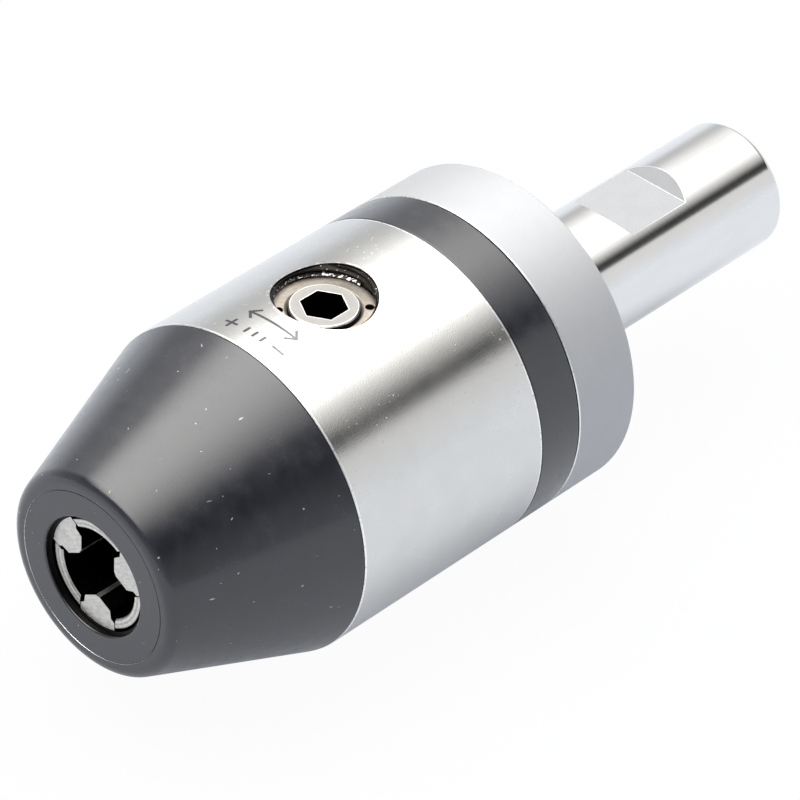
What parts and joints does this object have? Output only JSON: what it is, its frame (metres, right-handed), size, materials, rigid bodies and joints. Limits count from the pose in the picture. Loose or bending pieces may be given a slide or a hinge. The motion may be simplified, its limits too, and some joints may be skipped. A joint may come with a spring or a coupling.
{
  "type": "straight shank drill chuck",
  "caption": "Keyed drill chuck with a straight shank, a dark conical nose and self-centring jaws driven by a hex key pinion.",
  "frame": {"origin": "on the chuck's axis, in the shoulder face where the shank meets the flange", "axes": "+X along the axis towards the free end of the shank, +Z along the axis of the pinion and out of the flat on the shank"},
  "size_m": [0.1324, 0.05, 0.05],
  "materials": {
    "ground_steel": "satin, cylindrically ground",
    "blackened_steel": "satin black oxide",
    "matt_steel": "matt",
    "jaw_steel": "ground",
    "hardened_steel": "fine turned and hardened",
    "bronze": "turned",
    "retainer_steel": "turned, warm tinted",
    "seal_rubber": "moulded"
  },
  "bodies": {
    "housing": {"body": "ground_steel", "adapter": "matt_steel", "lock_ring": "blackened_steel", "nose_cone": "blackened_steel", "nose_seal": "seal_rubber", "rear_seal": "seal_rubber", "jaw_guide": "hardened_steel", "guide_key": "hardened_steel", "pinion_retainer": "retainer_steel", "pinion_washer": "bronze", "gear_front_washer": "bronze", "bearing_washer_rear": "hardened_steel", "gear_bush": "bronze"},
    "gear": {"bevel_gear": "hardened_steel", "bearing_washer_front": "hardened_steel"},
    "pinion": {"bevel_pinion": "jaw_steel"},
    "bearing_cage": {"needle_cage": "bronze", "needle_rollers": "hardened_steel"},
    "spindle": {"spindle": "hardened_steel"},
    "jaw_1": {"jaw_1": "jaw_steel"},
    "jaw_2": {"jaw_2": "jaw_steel"},
    "jaw_3": {"jaw_3": "jaw_steel"}
  },
  "joints": [
    {"name": "gear_turn", "type": "hinge", "parent": "housing", "child": "gear", "pos_m": [-0.0382, 0, 0], "axis": [1, 0, 0], "range_deg": [-725.71, 936.23]},
    {"name": "pinion_turn", "type": "hinge", "parent": "housing", "child": "pinion", "pos_m": [-0.0382, 0, 0.02285], "axis": [0, 0, 1], "range_deg": [-2808.97, 2177.35]},
    {"name": "cage_turn", "type": "hinge", "parent": "housing", "child": "bearing_cage", "pos_m": [-0.0255, 0, 0], "axis": [1, 0, 0], "range_deg": [-362.89, 468.16]},
    {"name": "spindle_slide", "type": "slide", "parent": "housing", "child": "spindle", "axis": [-1, 0, 0], "range_m": [-0.00806, 0.0104]},
    {"name": "jaw_1_slide", "type": "slide", "parent": "spindle", "child": "jaw_1", "axis": [0, 0.866, -0.5], "range_m": [-0.00262, 0.00338]},
    {"name": "jaw_2_slide", "type": "slide", "parent": "spindle", "child": "jaw_2", "axis": [0, 0, 1], "range_m": [-0.00262, 0.00338]},
    {"name": "jaw_3_slide", "type": "slide", "parent": "spindle", "child": "jaw_3", "axis": [0, -0.866, -0.5], "range_m": [-0.00262, 0.00338]}
  ],
  "couplings": [
    {"joint": "pinion_turn", "follows": "gear_turn", "ratio": -3},
    {"joint": "cage_turn", "follows": "gear_turn", "ratio": 0.5},
    {"joint": "spindle_slide", "follows": "gear_turn", "m_per_rad": 0.00063662},
    {"joint": "jaw_1_slide", "follows": "gear_turn", "m_per_rad": 0.00020685},
    {"joint": "jaw_2_slide", "follows": "gear_turn", "m_per_rad": 0.00020685},
    {"joint": "jaw_3_slide", "follows": "gear_turn", "m_per_rad": 0.00020685}
  ]
}
